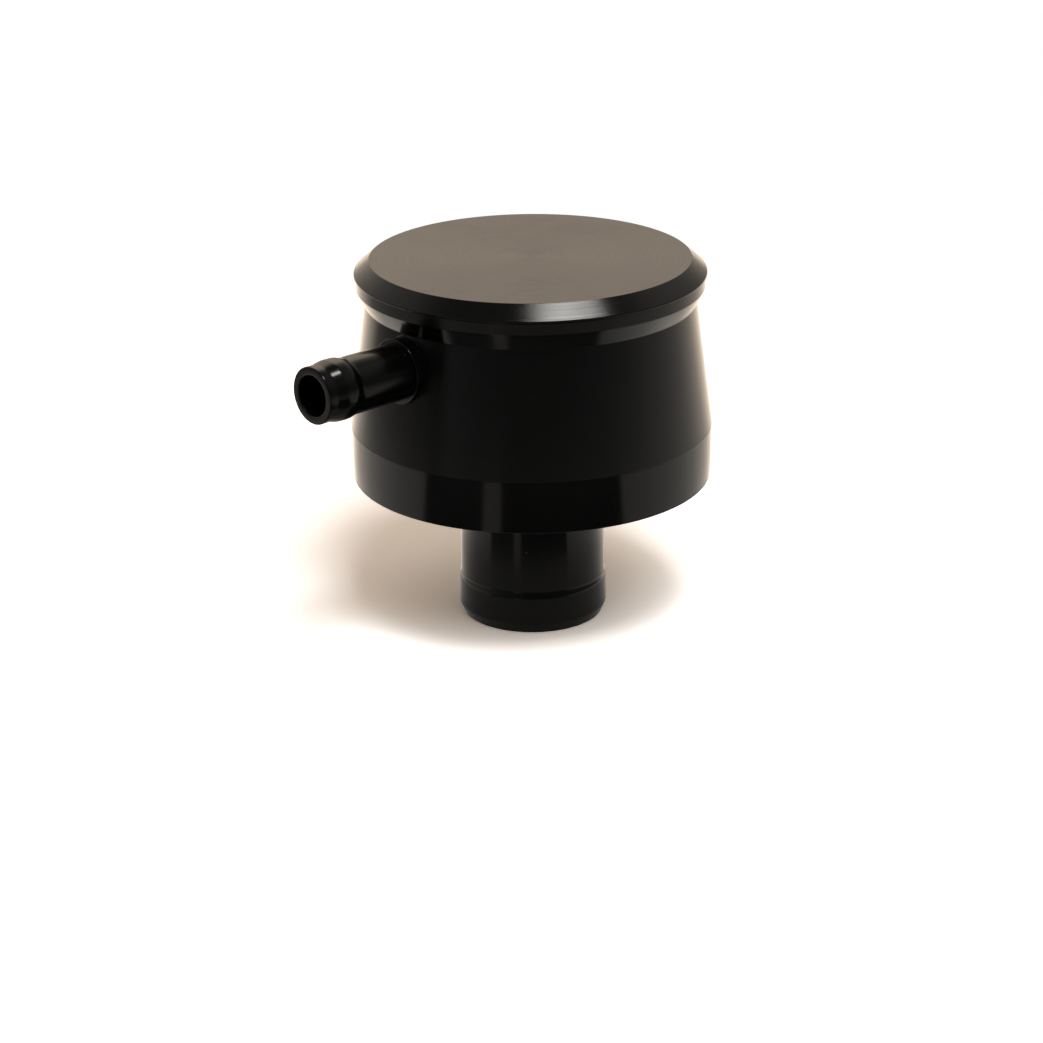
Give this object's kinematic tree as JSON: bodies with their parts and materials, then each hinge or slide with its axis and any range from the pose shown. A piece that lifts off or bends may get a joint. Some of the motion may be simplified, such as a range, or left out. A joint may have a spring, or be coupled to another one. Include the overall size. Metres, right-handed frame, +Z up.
{
  "type": "breather cap",
  "caption": "Push-in engine breather cap with a conical black body, a screwed bevelled lid, a filter inside and a side hose barb.",
  "frame": {"origin": "on the cap's axis at the lower end of its neck, where it stands", "axes": "+Z up along the axis to the lid, -X along the hose barb to its open end, +Y to the side by the right-hand rule"},
  "size_m": [0.0973, 0.0766, 0.0787],
  "materials": {
    "base_anodised": "black anodised, turned",
    "seal_rubber": "smooth",
    "body_anodised": "black anodised, turned",
    "lid_anodised": "black anodised, faced with fine concentric tool marks",
    "barb_anodised": "black anodised, turned",
    "bare_alloy": "turned, bare",
    "fixing_steel": "turned",
    "screen_steel": "perforated sheet",
    "filter_foam": "open-cell foam",
    "spring_steel": "phosphated"
  },
  "bodies": {
    "housing": {"base": "base_anodised", "base_seal": "seal_rubber", "body": "body_anodised", "hose_barb": "barb_anodised", "barb_seal": "seal_rubber", "splash_baffle": "bare_alloy", "baffle_post_1": "fixing_steel", "baffle_post_2": "fixing_steel", "baffle_post_3": "fixing_steel", "baffle_post_4": "fixing_steel", "baffle_screw_1": "fixing_steel", "baffle_screw_2": "fixing_steel", "baffle_screw_3": "fixing_steel", "baffle_screw_4": "fixing_steel", "lower_screen": "screen_steel", "lower_pad": "filter_foam", "upper_pad": "filter_foam", "upper_screen": "screen_steel", "snap_ring": "spring_steel"},
    "seal_carriage": {"lid_seal": "seal_rubber"},
    "lid": {"lid": "lid_anodised"}
  },
  "joints": [
    {"name": "lid_lift", "type": "slide", "parent": "housing", "child": "seal_carriage", "axis": [0, 0, 1], "range_m": [0, 0.0038]},
    {"name": "lid_turn", "type": "hinge", "parent": "seal_carriage", "child": "lid", "pos_m": [0, 0, 0.0754], "axis": [0, 0, 1], "range_deg": [0, 900]}
  ],
  "couplings": [
    {"joint": "lid_lift", "follows": "lid_turn", "m_per_rad": 0.00023873}
  ]
}
